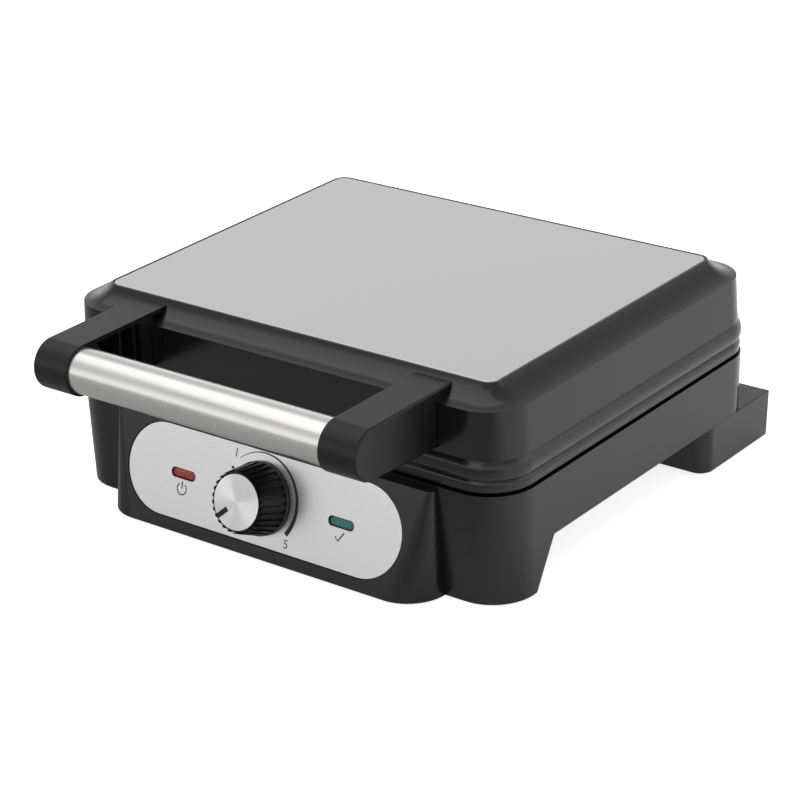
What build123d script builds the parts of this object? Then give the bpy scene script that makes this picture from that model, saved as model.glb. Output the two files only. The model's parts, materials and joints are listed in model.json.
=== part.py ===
"""A household belgian waffle maker with a hinged lid, a tubular handle and a temperature knob.

Millimetres, +Z up. The origin is on the table, under the middle of the whole appliance.
The control panel and the handle face -Y, the hinge is at +Y.
"""

from math import cos, radians, sin, tan
import os

from build123d import *

os.makedirs("parts", exist_ok=True)

# Outline of the body, seen from above
body_width = 262.0
body_depth = 216.0
body_corner = 23.0
handle_reach = 56.0  # from the front wall to the foremost line of the handle
rear_foot_reach = 13.0  # how far the rear feet stand out behind the back wall

# Heights, from the table up
pad_height = 1.0  # what shows of the rubber pads
foot_height = 25.0  # table to the underside of the pan
base_height = 55.0  # table to the top edge of the base
parting_gap = 3.0  # open line between base and lid
frame_height = 13.4  # beaded lower frame of the lid
cover_height = 31.0  # moulded cover above that frame

# Moulded walls
wall = 2.4
base_draft = 1.3  # degrees that the base walls lean in towards the table
fit_gap = 0.3  # clearance between seated pieces

# Steel sheet in the top of the lid
sheet_inset = 18.0  # from the body outline to the edge of the sheet
sheet_thickness = 0.8
sheet_gap = 0.5
lip_width = 0.9
cove_drop = 8.0
cove_sag = 2.0
cover_inset = 2.6  # where the cove meets the wall of the cover
cover_foot_inset = 1.5  # lower edge of the cover wall
deck_thickness = 2.0

# Beads round the lid frame
bead_swell = 1.7
bead_drop = 9.5
neck_inset = 1.2
lower_bead_swell = 0.8

# Cooking plates, cast with two by two pockets full of drafted pegs
plate_inset = 9.0  # from the body outline to the plate's edge
plate_corner = 16.0
plate_flange = 4.0
plate_step = 6.0  # how far the pocketed body is drawn in under the flange
plate_floor = 3.2
rim_clearance = 0.4  # between the closed rims of the two plates
pocket_margin = 7.5  # from the pockets to the edge of the pocketed body
pocket_drop = 13.0
pocket_corner = 4.0
pocket_draft = 8.0
pocket_rib = 8.0
pegs_across = 5
pegs_deep = 4
peg_foot = 12.0
peg_height = 9.0
peg_draft = 9.0
ledge_gap = 1.0  # between the pocketed body and the inner ledge that carries a plate
ledge_thickness = 2.5

# Heating elements, one under each plate
element_diameter = 6.5
element_inset = 28.0  # from the plate's edge to the element
element_bend = 24.0
terminal_spread = 36.0
terminal_length = 14.0

# Sheet steel reflectors behind the elements
reflector_inset = 11.0  # from the plate's edge to the reflector
reflector_flange = 5.0
reflector_sheet = 0.6
reflector_corner = 10.0
reflector_lift = 0.6  # between the element and the tray
reflector_boss_side = 30.0  # from the element's side runs to the bosses
reflector_boss_end = 9.0  # from the element's bends to the bosses

# Control housing at the front of the base
housing_inset = 34.5  # from the body's side to the housing's side
housing_narrowing = 4.0  # how much narrower the housing is at its top
housing_corner = 20.0
shoulder_corner = 3.4
housing_top = 53.0
panel_tilt = 16.0  # degrees that the panel leans back
panel_wall = 3.0
panel_height = 28.4  # middle of the panel above the table
panel_reach = 10.7  # middle of the panel in front of the body's front wall
fascia_inset = 14.7  # from the housing's side to the fascia
fascia_height = 44.4
fascia_sheet = 0.8
fascia_seat = 1.0
fascia_gap = 0.5

# Indicator lenses in the panel
lamp_inset = 34.3  # from the fascia's end to the middle of a lens
lens_length = 15.0
lens_width = 4.8
lens_depth = 5.0
lens_recess = 0.7
lens_edge = 0.7
lamp_diameter = 8.0
lamp_length = 11.0

# Temperature knob and thermostat
knob_foot_diameter = 35.0
knob_face_diameter = 29.4
knob_length = 17.0
knob_lift = 0.6  # running gap between knob and panel
knob_ribs = 28
knob_rib_depth = 0.9
knob_bore_wall = 1.8
knob_hollow = 12.0
knob_hub_diameter = 11.0
knob_web = 2.0  # solid between the shaft's end and the disc
knob_rib_width = 1.9
knob_flange = 1.6
cap_diameter = 27.6
cap_thickness = 1.4
pointer_length = 6.0
pointer_width = 2.2
pointer_angle = 222.0  # degrees from the panel's right hand side at rest
shaft_diameter = 6.0
shaft_clearance = 0.05
shaft_length = 26.0
bush_diameter = 9.0
bush_length = 6.5
nut_width = 14.0
nut_thickness = 2.0
thermostat_width = 26.0
thermostat_height = 24.0
thermostat_depth = 12.0
tab_length = 6.0
tab_width = 5.0
tab_thickness = 1.0

# Feet
foot_width = 36.0
front_foot_run = 25.0  # length of the front feet along the table
front_foot_rake = 14.0  # how far their rear edge leans back at the arch
rear_foot_run = 59.5  # length of the rear feet along the table
rear_foot_draft = 2.0
rear_foot_corner = 8.0
pad_diameter = 16.0
pad_seat = 1.6

# Handle
arm_inset = 57.0  # from the body's side to the arm's inner face
arm_width = 20.5
arm_end_radius = 12.4
arm_top_drop = 2.4  # below the top of the lid
arm_root_rise = 0.8  # lower corner of the arm's root above the frame joint
arm_wall = 2.2
arm_rib = 1.6
tube_diameter = 22.0
tube_wall = 0.9
spigot_length = 9.0
tie_rod_diameter = 5.0
handle_cap_diameter = 15.0
handle_cap_thickness = 2.0
arm_screw_diameter = 4.0
arm_screw_rise = 10.0  # above the frame joint
arm_screw_bite = 4.0
arm_screw_hole = 12.0
arm_root_depth = 16.0  # how far the section is drawn into the lid before it is cut
arm_root_wall = 4.5
arm_edge = 1.2
catch_size = 6.0
tie_rod_head = 3.0
tie_rod_head_diameter = 9.0
cap_dish = 0.2

# Hinge at the back
hinge_reach = 7.0  # from the back wall to the hinge axis
hinge_inset = 56.0  # from the body's side to the middle of a knuckle
knuckle_width = 18.0
knuckle_radius = 5.6
knuckle_gap = 0.4
ear_width = 5.0
ear_drop = 12.0
pin_diameter = 5.0
pin_clearance = 0.05
pin_head_diameter = 8.0
pin_head = 1.6
knuckle_web = 8.0
knuckle_rise = 3.0  # how much higher the web is at the frame

# Underside
cover_sheet = 2.0
cover_gap = 0.4
vent_count = 9
vent_length = 34.0
vent_width = 3.0
vent_pitch = 9.0
vent_row = 40.0
vent_shift = 16.0
screw_diameter = 3.5
screw_head_diameter = 7.0
screw_head = 2.0
screw_length = 10.0
boss_diameter = 9.0
cover_screw_inset = 9.0  # from the body's side to the screw
cover_screw_gap = 9.0  # from the legs to the screw
foot_screw_setback = 34.0  # from the rear of a rear foot to its screw
plate_screw_inset = 2.2
plate_screw_setback = 64.0  # from the plate's front or back edge to the screw
plate_screw_bite = 2.6  # thread in the flange

# Terminal block and thermal fuse
block_offset = -58.0
block_pitch = 10.0
block_poles = 3
block_depth = 14.0
block_height = 12.0
fuse_diameter = 4.0
fuse_length = 12.0
fuse_lead_length = 6.0
fuse_lead_diameter = 1.6

# Cord gland in the back wall
gland_offset = 30.0
gland_height = 38.0
gland_diameter = 13.0
gland_flange = 17.0
gland_bore = 7.5
gland_flange_thickness = 2.0

# Places that follow from those sizes
overall_depth = handle_reach + body_depth + rear_foot_reach
front_y = handle_reach - overall_depth / 2
back_y = front_y + body_depth
middle_y = (front_y + back_y) / 2
lid_bottom = base_height + parting_gap
frame_top = lid_bottom + frame_height
lid_top = frame_top + cover_height
parting_z = base_height + parting_gap / 2
handle_y = front_y - handle_reach + arm_end_radius
handle_z = lid_top - arm_top_drop - arm_end_radius
arm_inner = body_width / 2 - arm_inset
arm_outer = arm_inner + arm_width
hinge_y = back_y + hinge_reach
hinge_z = parting_z
panel_y = front_y - panel_reach
plate_width = body_width - 2 * plate_inset
plate_depth = body_depth - 2 * plate_inset
pocket_width = plate_width / 2 - plate_step - pocket_margin - pocket_rib / 2
pocket_depth = plate_depth / 2 - plate_step - pocket_margin - pocket_rib / 2
ledge_width = plate_inset + plate_step - ledge_gap
element_width = plate_width - 2 * element_inset
element_depth = plate_depth - 2 * element_inset
reflector_width = plate_width - 2 * reflector_inset
reflector_depth = plate_depth - 2 * reflector_inset
housing_width = body_width - 2 * housing_inset
housing_shoulder = housing_width - housing_narrowing
fascia_width = housing_width - 2 * fascia_inset
lamp_offset = fascia_width / 2 - lamp_inset

panel_plane = Plane(
    origin=(0, panel_y, panel_height),
    x_dir=(1, 0, 0),
    z_dir=(0, -cos(radians(panel_tilt)), sin(radians(panel_tilt))),
)
side_plane = Plane(origin=(0, 0, 0), x_dir=(0, 1, 0), z_dir=(1, 0, 0))
front_section = Plane(origin=(0, front_y, 0), x_dir=(0, 1, 0), z_dir=(1, 0, 0))


def finish(builder, name):
    """Labels a finished piece and writes it under its own name."""
    builder.part.label = name
    export_step(builder.part, f"parts/{name}.step")


def body_outline(inset):
    """The rounded outline of the body, drawn in by inset."""
    with Locations((0, middle_y)):
        RectangleRounded(body_width - 2 * inset, body_depth - 2 * inset, body_corner - inset)


def panel_front(height):
    """Y of the control panel's face at a height above the table."""
    return panel_y + (height - panel_height) * tan(radians(panel_tilt))


def rim_path():
    """The body outline as one closed path that starts in the middle of the front."""
    x = body_width / 2
    r = body_corner
    with BuildLine() as path:
        Line((0, front_y), (x - r, front_y))
        CenterArc((x - r, front_y + r), r, -90, 90)
        Line((x, front_y + r), (x, back_y - r))
        CenterArc((x - r, back_y - r), r, 0, 90)
        Line((x - r, back_y), (r - x, back_y))
        CenterArc((r - x, back_y - r), r, 90, 90)
        Line((-x, back_y - r), (-x, front_y + r))
        CenterArc((r - x, front_y + r), r, 180, 90)
        Line((r - x, front_y), (0, front_y))
    return path.wires()[0]


lip_edge = sheet_inset - sheet_gap - lip_width
cove_bottom = lid_top - cove_drop
cove_middle = (
    (lip_edge + cover_inset) / 2 + cove_sag * 0.5,
    (lid_top + cove_bottom) / 2 - cove_sag * 0.87,
)


def cover_face():
    """Outer line of the lid cover in section, as inset and height, from the lip down."""
    ThreePointArc((lip_edge, lid_top), cove_middle, (cover_inset, cove_bottom))
    Line((cover_inset, cove_bottom), (cover_foot_inset, frame_top))


# Lid cover: a ring with the concave cove and the drafted wall, closed by a deck under the sheet
deck_top = lid_top - sheet_thickness
deck_bottom = deck_top - deck_thickness
with BuildPart() as lid_cover:
    with BuildSketch(front_section):
        with BuildLine():
            cover_face()
            Polyline(
                (cover_foot_inset, frame_top),
                (cover_foot_inset + wall, frame_top),
                (cover_inset + wall, cove_bottom - wall / 2),
                (cove_middle[0] + wall / 2, cove_middle[1] - wall),
                (lip_edge + lip_width, deck_bottom),
                (lip_edge + lip_width, lid_top),
                (lip_edge, lid_top),
            )
        make_face()
    sweep(path=rim_path())
    with BuildSketch(Plane.XY.offset(deck_bottom)):
        body_outline(lip_edge + lip_width / 2)
    extrude(amount=deck_thickness)
    # screw holes for the two handle arms
    for side in (-1, 1):
        hole_x = side * (arm_inner + arm_width / 2)
        hole_plane = Plane((hole_x, front_y, frame_top + arm_screw_rise), z_dir=(0, -1, 0))
        with Locations(hole_plane):
            Hole(arm_screw_diameter / 2 + fit_gap / 2, depth=arm_screw_hole)
finish(lid_cover, "lid_cover")

# Steel sheet let into the top of the cover
with BuildPart() as lid_top_plate:
    with BuildSketch(Plane.XY.offset(deck_top)):
        body_outline(sheet_inset)
    extrude(amount=sheet_thickness)
finish(lid_top_plate, "lid_top_plate")

plate_back_drop = pocket_drop + plate_floor
plate_screw_x = plate_width / 2 - plate_screw_inset


def plate_screws(diameter):
    """Circles where the four screws hold a plate on its ledge."""
    with Locations((0, middle_y)):
        with GridLocations(2 * plate_screw_x, plate_depth - 2 * plate_screw_setback, 2, 2):
            Circle(diameter / 2)


def reflector_bosses(diameter):
    """Circles where four bosses behind a plate carry its reflector."""
    with Locations((0, middle_y)):
        with GridLocations(
            element_width - 2 * reflector_boss_side,
            element_depth - 2 * (element_bend + reflector_boss_end),
            2,
            2,
        ):
            Circle(diameter / 2)


# Lid frame: two beads and a neck outside, and inside the ledge that the upper plate screws to
upper_rim = parting_z + rim_clearance / 2
upper_seat = upper_rim + plate_flange
knuckle_x = body_width / 2 - hinge_inset
with BuildPart() as lid_frame:
    with BuildSketch(front_section):
        with BuildLine():
            neck_z = frame_top - bead_drop
            ThreePointArc(
                (cover_foot_inset, frame_top),
                (cover_foot_inset - bead_swell, (frame_top + neck_z) / 2),
                (neck_inset, neck_z),
            )
            ThreePointArc(
                (neck_inset, neck_z),
                (neck_inset - lower_bead_swell, (neck_z + lid_bottom) / 2),
                (neck_inset - lower_bead_swell / 2, lid_bottom),
            )
            Polyline(
                (neck_inset - lower_bead_swell / 2, lid_bottom),
                (cover_foot_inset + wall, lid_bottom),
                (cover_foot_inset + wall, upper_seat),
                (ledge_width, upper_seat),
                (ledge_width, upper_seat + ledge_thickness),
                (cover_foot_inset + wall, upper_seat + ledge_thickness),
                (cover_foot_inset + wall, frame_top),
                (cover_foot_inset, frame_top),
            )
        make_face()
    sweep(path=rim_path())
    with BuildSketch(Plane.XY.offset(upper_seat)):
        plate_screws(screw_diameter + 2 * pin_clearance)
    extrude(amount=ledge_thickness, mode=Mode.SUBTRACT)
finish(lid_frame, "lid_frame")


def hinge_bore():
    """Line of the hinge pins, cut through whatever carries them."""
    with Locations(Plane((0, hinge_y, hinge_z), x_dir=(0, 1, 0), z_dir=(1, 0, 0))):
        Cylinder(pin_diameter / 2 + pin_clearance, body_width, mode=Mode.SUBTRACT)


# Hinge knuckles: a rounded eye behind the frame, on a short web shaped to its beads
knuckle_foot = back_y - cover_foot_inset - wall / 2
with BuildPart() as hinge_knuckles:
    for side in (-1, 1):
        with BuildSketch(side_plane.offset(side * knuckle_x - knuckle_width / 2)):
            with Locations((hinge_y, hinge_z)):
                Circle(knuckle_radius)
            with BuildLine():
                Polyline(
                    (knuckle_foot, lid_bottom),
                    (hinge_y, lid_bottom),
                    (hinge_y + knuckle_radius, hinge_z),
                    (hinge_y + knuckle_radius * 0.6, hinge_z + knuckle_web),
                    (knuckle_foot, hinge_z + knuckle_web + knuckle_rise),
                    close=True,
                )
            make_face()
        extrude(amount=knuckle_width)
    add(lid_frame.part, mode=Mode.SUBTRACT)
    hinge_bore()
finish(hinge_knuckles, "hinge_knuckles")


# Cooking plates: one casting, and the same casting turned over above it
lower_rim = parting_z - rim_clearance / 2
pitch_x = pocket_width + pocket_rib
pitch_y = pocket_depth + pocket_rib
peg_root = lower_rim - pocket_drop - plate_floor / 4
boss_foot = lower_rim - plate_back_drop - element_diameter - reflector_lift
with BuildPart() as lower_cooking_plate:
    with BuildSketch(Plane.XY.offset(lower_rim)):
        with Locations((0, middle_y)):
            RectangleRounded(plate_width, plate_depth, plate_corner)
    extrude(amount=-plate_flange)
    with BuildSketch(Plane.XY.offset(lower_rim - plate_flange)):
        with Locations((0, middle_y)):
            RectangleRounded(
                plate_width - 2 * plate_step,
                plate_depth - 2 * plate_step,
                plate_corner - plate_step,
            )
    extrude(amount=plate_flange - plate_back_drop)
    with BuildSketch(Plane.XY.offset(lower_rim)):
        with Locations((0, middle_y)):
            with GridLocations(pitch_x, pitch_y, 2, 2):
                RectangleRounded(pocket_width, pocket_depth, pocket_corner)
    extrude(amount=-pocket_drop, taper=pocket_draft, mode=Mode.SUBTRACT)
    with BuildSketch(Plane.XY.offset(peg_root)):
        with Locations((0, middle_y)):
            with GridLocations(pitch_x, pitch_y, 2, 2):
                with GridLocations(
                    pocket_width / pegs_across,
                    pocket_depth / pegs_deep,
                    pegs_across,
                    pegs_deep,
                ):
                    Rectangle(peg_foot, peg_foot)
    extrude(amount=peg_height + plate_floor / 4, taper=peg_draft)
    # bosses on the back that carry the reflector
    with BuildSketch(Plane.XY.offset(boss_foot)):
        reflector_bosses(boss_diameter)
    extrude(amount=element_diameter + reflector_lift)
    with BuildSketch(Plane.XY.offset(boss_foot)):
        reflector_bosses(screw_diameter + 2 * pin_clearance)
    extrude(amount=screw_length, mode=Mode.SUBTRACT)
    # blind holes in the flange for the screws that hold the plate
    with BuildSketch(Plane.XY.offset(lower_rim - plate_flange)):
        plate_screws(screw_diameter + 2 * pin_clearance)
    extrude(amount=plate_screw_bite, mode=Mode.SUBTRACT)
finish(lower_cooking_plate, "lower_cooking_plate")

with BuildPart() as upper_cooking_plate:
    mirror(lower_cooking_plate.part, about=Plane.XY.offset(parting_z))
finish(upper_cooking_plate, "upper_cooking_plate")


def heating_element(axis_z, name):
    """A tubular element pressed eight-sided and bent to a loop, with two cold ends at the front."""
    x = element_width / 2
    near = middle_y - element_depth / 2
    far = middle_y + element_depth / 2
    end_x = terminal_spread / 2
    with BuildPart() as element:
        with BuildLine(Plane.XY.offset(axis_z)) as path:
            FilletPolyline(
                (end_x, near - terminal_length),
                (end_x, near + element_bend),
                (x, near + element_bend),
                (x, far),
                (-x, far),
                (-x, near + element_bend),
                (-end_x, near + element_bend),
                (-end_x, near - terminal_length),
                radius=element_bend / 2,
            )
        with BuildSketch(Plane(path.line @ 0, z_dir=path.line % 0)):
            RegularPolygon(element_diameter / 2, 8, major_radius=False, rotation=180 / 8)
        sweep(path=path.line)
    finish(element, name)


heating_element(lower_rim - plate_back_drop - element_diameter / 2, "lower_heating_element")
heating_element(upper_rim + plate_back_drop + element_diameter / 2, "upper_heating_element")


def reflector(sheet_z, up, name):
    """A shallow sheet steel tray with its rim turned towards the plate; up is its direction."""
    with BuildPart() as tray:
        with BuildSketch(Plane.XY.offset(sheet_z)):
            with Locations((0, middle_y)):
                RectangleRounded(reflector_width, reflector_depth, reflector_corner)
        extrude(amount=up * reflector_flange)
        with BuildSketch(Plane.XY.offset(sheet_z + up * reflector_sheet)):
            with Locations((0, middle_y)):
                RectangleRounded(
                    reflector_width - 2 * reflector_sheet,
                    reflector_depth - 2 * reflector_sheet,
                    reflector_corner - reflector_sheet,
                )
        extrude(amount=up * reflector_flange, mode=Mode.SUBTRACT)
        # the cold ends of the element leave the tray through a notch in its front
        with BuildSketch(Plane.XY.offset(sheet_z + up * reflector_sheet)):
            with Locations((0, middle_y - reflector_depth / 2)):
                Rectangle(terminal_spread + 3 * element_diameter, 4 * reflector_sheet)
        extrude(amount=up * reflector_flange, mode=Mode.SUBTRACT)
        with BuildSketch(Plane.XY.offset(sheet_z)):
            reflector_bosses(screw_diameter + 2 * pin_clearance)
        extrude(amount=up * reflector_sheet, mode=Mode.SUBTRACT)
    finish(tray, name)


reflector_gap = element_diameter + reflector_lift
tray_back = plate_back_drop + reflector_gap + reflector_sheet
reflector(lower_rim - tray_back, 1, "lower_reflector")
reflector(upper_rim + tray_back, -1, "upper_reflector")

# Legs: the front ones belong to the control housing, the rear ones are boxes of their own
floor_y = front_y + front_foot_run
arch_y = floor_y + front_foot_rake
foot_back = back_y + rear_foot_reach
rear_y = foot_back - rear_foot_run
pan_lean = (base_height - foot_height) * tan(radians(base_draft))
foot_x = body_width / 2 - pan_lean - foot_width / 2
foot_front = rear_y - foot_height * tan(radians(rear_foot_draft))
lower_seat = lower_rim - plate_flange
cover_top = foot_height + cover_sheet
cover_screw_x = body_width / 2 - cover_screw_inset


def housing(inset, top, bottom, back):
    """The control housing between two heights, drawn in all round by inset."""
    with BuildPart() as block:
        for height, width, corner in (
            (top, housing_shoulder, shoulder_corner),
            (bottom, housing_width, housing_corner),
        ):
            front = panel_front(height) + inset
            with BuildSketch(Plane.XY.offset(height)) as plan:
                with Locations((0, (front + back) / 2)):
                    Rectangle(width - 2 * inset, back - front)
                fillet(plan.vertices().group_by(Axis.Y)[0], max(corner - inset, wall / 4))
        loft()
    return block.part


housing_block = housing(0, housing_top, pad_height, front_y + wall)
housing_hollow = housing(panel_wall, housing_top - wall, pad_height + wall, front_y + 2 * wall)


def pan_block(inset):
    """The drafted pan between the tops of the legs and its upper edge, filled, drawn in by inset."""
    with BuildPart() as block:
        with BuildSketch(Plane.XY.offset(base_height)):
            body_outline(inset)
        extrude(amount=foot_height - base_height, taper=base_draft)
    return block.part


def leg_block(inset, top, bottom):
    """The front legs and the wall between them, drawn in by inset, with the rear side raked to the arch."""
    with BuildPart() as block:
        with BuildSketch(Plane.XY.offset(top)):
            body_outline(inset + pan_lean)
        extrude(amount=bottom - top, taper=base_draft)
        with BuildSketch(side_plane.offset(-body_width / 2)):
            with BuildLine():
                Polyline(
                    (front_y, 0),
                    (floor_y - inset, 0),
                    (arch_y - inset, foot_height),
                    (front_y, foot_height),
                    close=True,
                )
            make_face()
        extrude(amount=body_width, mode=Mode.INTERSECT)
    return block.part


def cover_screws(diameter, mode=Mode.ADD):
    """Circles where the four screws of the bottom cover go in, between the legs."""
    for screw_y in (arch_y + cover_screw_gap, foot_front - cover_screw_gap):
        with Locations((-cover_screw_x, screw_y), (cover_screw_x, screw_y)):
            Circle(diameter / 2, mode=mode)


def foot_screws(diameter, mode=Mode.ADD):
    """Circles where the screws through the bottom cover hold the rear feet."""
    with Locations((-foot_x, foot_back - foot_screw_setback), (foot_x, foot_back - foot_screw_setback)):
        Circle(diameter / 2, mode=mode)


# Pan of the base: drafted wall, ledge for the lower plate and posts for the bottom cover
with BuildPart() as base_shell:
    add(pan_block(0))
    add(pan_block(wall), mode=Mode.SUBTRACT)
    # window into the control housing
    add(housing_hollow, mode=Mode.SUBTRACT)
    # ledge that carries the lower plate
    with BuildSketch(Plane.XY.offset(lower_seat)):
        body_outline(wall / 2)
        with Locations((0, middle_y)):
            RectangleRounded(
                body_width - 2 * ledge_width,
                body_depth - 2 * ledge_width,
                body_corner - ledge_width,
                mode=Mode.SUBTRACT,
            )
    extrude(amount=-ledge_thickness)
    with BuildSketch(Plane.XY.offset(lower_seat)):
        plate_screws(screw_diameter + 2 * pin_clearance)
    extrude(amount=-ledge_thickness, mode=Mode.SUBTRACT)
    # posts for the screws of the bottom cover
    with BuildSketch(Plane.XY.offset(cover_top)):
        cover_screws(boss_diameter)
    extrude(amount=lower_seat - ledge_thickness - cover_top)
    with BuildSketch(Plane.XY.offset(cover_top)):
        cover_screws(screw_diameter + 2 * pin_clearance)
    extrude(amount=screw_length, mode=Mode.SUBTRACT)
    # hole for the cord gland
    with Locations(Plane((gland_offset, back_y, gland_height), z_dir=(0, 1, 0))):
        Hole(gland_diameter / 2 + pin_clearance, depth=2 * wall)
finish(base_shell, "base_shell")

# Hinge ears on the back of the pan, one pair for each knuckle of the lid
with BuildPart() as hinge_ears:
    for side in (-1, 1):
        for face in (-1, 1):
            inner = side * knuckle_x + face * (knuckle_width / 2 + knuckle_gap)
            with BuildSketch(side_plane.offset(inner)):
                with Locations((hinge_y, hinge_z)):
                    Circle(knuckle_radius)
                with BuildLine():
                    Polyline(
                        (back_y - wall / 2, base_height - 1),
                        (hinge_y - knuckle_radius * 0.9, hinge_z),
                        (hinge_y + knuckle_radius * 0.98, hinge_z - 1),
                        (back_y - wall, hinge_z - ear_drop - hinge_reach),
                        close=True,
                    )
                make_face()
            extrude(amount=face * ear_width)
    add(pan_block(0), mode=Mode.SUBTRACT)
    hinge_bore()
finish(hinge_ears, "hinge_ears")

# Control housing with the front legs, closed at the table, open to the pan above and behind
with BuildPart() as control_housing:
    add(leg_block(0, foot_height, pad_height))
    add(housing_block)
    add(pan_block(0), mode=Mode.SUBTRACT)
    add(leg_block(wall, foot_height, pad_height + wall), mode=Mode.SUBTRACT)
    add(housing_hollow, mode=Mode.SUBTRACT)
    # seats for the front pads
    with BuildSketch(Plane.XY.offset(pad_height)):
        with GridLocations(2 * foot_x, 1, 2, 1):
            with Locations((0, floor_y - pad_diameter / 2 - wall)):
                Circle(pad_diameter / 2)
    extrude(amount=pad_seat, mode=Mode.SUBTRACT)
    # seat of the fascia, the two lamp windows and the hole for the thermostat's bush
    with BuildSketch(panel_plane):
        SlotOverall(fascia_width + 2 * fascia_gap, fascia_height + 2 * fascia_gap)
    extrude(amount=-fascia_seat, mode=Mode.SUBTRACT)
    with BuildSketch(panel_plane):
        with Locations((-lamp_offset, 0), (lamp_offset, 0)):
            SlotOverall(lens_length + fit_gap, lens_width + fit_gap)
        Circle(bush_diameter / 2 + pin_clearance)
    extrude(amount=-2 * panel_wall, mode=Mode.SUBTRACT)
finish(control_housing, "control_housing")

# Rear feet: boxes that carry the pan and stand out behind it, each with a screw boss inside
foot_floor = pad_height + pad_seat + wall
foot_wall = wall + (foot_height - foot_floor) * tan(radians(rear_foot_draft))
for side, name in ((-1, "rear_foot_left"), (1, "rear_foot_right")):
    with BuildPart() as foot:
        with BuildSketch(Plane.XY.offset(foot_height)) as plan:
            with Locations((side * foot_x, (foot_front + foot_back) / 2)):
                Rectangle(foot_width, foot_back - foot_front)
            fillet(plan.vertices().group_by(Axis.Y)[0], rear_foot_corner)
        extrude(amount=pad_height - foot_height, taper=rear_foot_draft)
        # open under the pan, closed behind it
        for top, rear in ((foot_height, back_y - 2 * wall), (foot_height - wall, foot_back - foot_wall)):
            with BuildSketch(Plane.XY.offset(top)):
                with Locations((side * foot_x, (foot_front + foot_wall + rear) / 2)):
                    Rectangle(foot_width - 2 * foot_wall, rear - foot_front - foot_wall)
            extrude(amount=foot_floor - top, mode=Mode.SUBTRACT)
        with BuildSketch(Plane.XY.offset(foot_height)):
            with Locations((side * foot_x, foot_back - foot_screw_setback)):
                Circle(boss_diameter / 2)
        extrude(amount=foot_floor - foot_height)
        with BuildSketch(Plane.XY.offset(foot_height)):
            with Locations((side * foot_x, foot_back - foot_screw_setback)):
                Circle(screw_diameter / 2 + pin_clearance)
        extrude(amount=-screw_length, mode=Mode.SUBTRACT)
        with BuildSketch(Plane.XY.offset(pad_height)):
            with Locations((side * foot_x, foot_back - foot_width / 2)):
                Circle(pad_diameter / 2)
        extrude(amount=pad_seat, mode=Mode.SUBTRACT)
    finish(foot, name)

# Brushed steel fascia let into the panel
with BuildPart() as fascia_plate:
    with BuildSketch(panel_plane.offset(-fascia_seat)):
        SlotOverall(fascia_width, fascia_height)
        with Locations((-lamp_offset, 0), (lamp_offset, 0)):
            SlotOverall(lens_length, lens_width, mode=Mode.SUBTRACT)
        Circle(bush_diameter / 2 + pin_clearance, mode=Mode.SUBTRACT)
    extrude(amount=fascia_sheet)
finish(fascia_plate, "fascia_plate")
fascia_face = fascia_sheet - fascia_seat

# Indicator lenses, set back behind the fascia, each with a neon lamp behind it
for side, lens_name, lamp_name in ((-1, "power_lens", "power_lamp"), (1, "ready_lens", "ready_lamp")):
    with BuildPart() as lens:
        with BuildSketch(panel_plane.offset(fascia_face - lens_recess)):
            with Locations((side * lamp_offset, 0)):
                SlotOverall(lens_length - fit_gap, lens_width - fit_gap)
        extrude(amount=-lens_depth)
        chamfer(lens.faces().sort_by(Axis.Y)[0].edges(), lens_edge)
    finish(lens, lens_name)
    with BuildPart() as lamp:
        with BuildSketch(panel_plane.offset(fascia_face - lens_recess - lens_depth)):
            with Locations((side * lamp_offset, 0)):
                Circle(lamp_diameter / 2)
        extrude(amount=-lamp_length)
    finish(lamp, lamp_name)

# Thermostat behind the panel, its bush, and the nut that clamps it to the fascia
with BuildPart() as thermostat_body:
    with BuildSketch(panel_plane.offset(-panel_wall)):
        Rectangle(thermostat_width, thermostat_height)
    extrude(amount=-thermostat_depth)
    with BuildSketch(panel_plane.offset(-panel_wall)):
        Circle(bush_diameter / 2)
    extrude(amount=panel_wall + nut_thickness + fascia_face + pin_clearance)
    with BuildSketch(panel_plane.offset(-panel_wall - thermostat_depth / 2)):
        with GridLocations(thermostat_width + tab_length, 1, 2, 1):
            Rectangle(tab_length, tab_width)
    extrude(amount=tab_thickness)
    with BuildSketch(panel_plane.offset(-panel_wall - thermostat_depth / 2)):
        Circle(shaft_diameter / 2 + shaft_clearance)
    extrude(amount=shaft_length, mode=Mode.SUBTRACT)
finish(thermostat_body, "thermostat_body")

with BuildPart() as thermostat_nut:
    with BuildSketch(panel_plane.offset(fascia_face)):
        RegularPolygon(nut_width / 2, 6, major_radius=False)
        Circle(bush_diameter / 2 + pin_clearance, mode=Mode.SUBTRACT)
    extrude(amount=nut_thickness)
finish(thermostat_nut, "thermostat_nut")

# Knob: a ribbed, tapered skirt with a turned metal disc in its face
knob_back = panel_plane.offset(knob_lift)
knob_front = panel_plane.offset(knob_lift + knob_length)
shaft_back = -panel_wall - thermostat_depth / 2 + fit_gap
with BuildPart() as thermostat_shaft:
    with BuildSketch(panel_plane.offset(shaft_back)):
        Circle(shaft_diameter / 2)
    extrude(amount=knob_lift + knob_length - cap_thickness - knob_web - shaft_back)
finish(thermostat_shaft, "thermostat_shaft")

with BuildPart() as knob_grips:
    with BuildSketch(knob_back):
        with PolarLocations(knob_foot_diameter / 2 - knob_rib_depth, knob_ribs):
            Rectangle(4 * knob_rib_depth, knob_rib_width)
    extrude(amount=knob_length)
    with BuildSketch(knob_back):
        Circle(knob_foot_diameter / 2)
    with BuildSketch(knob_front):
        Circle(knob_face_diameter / 2)
    loft(mode=Mode.INTERSECT)

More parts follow.
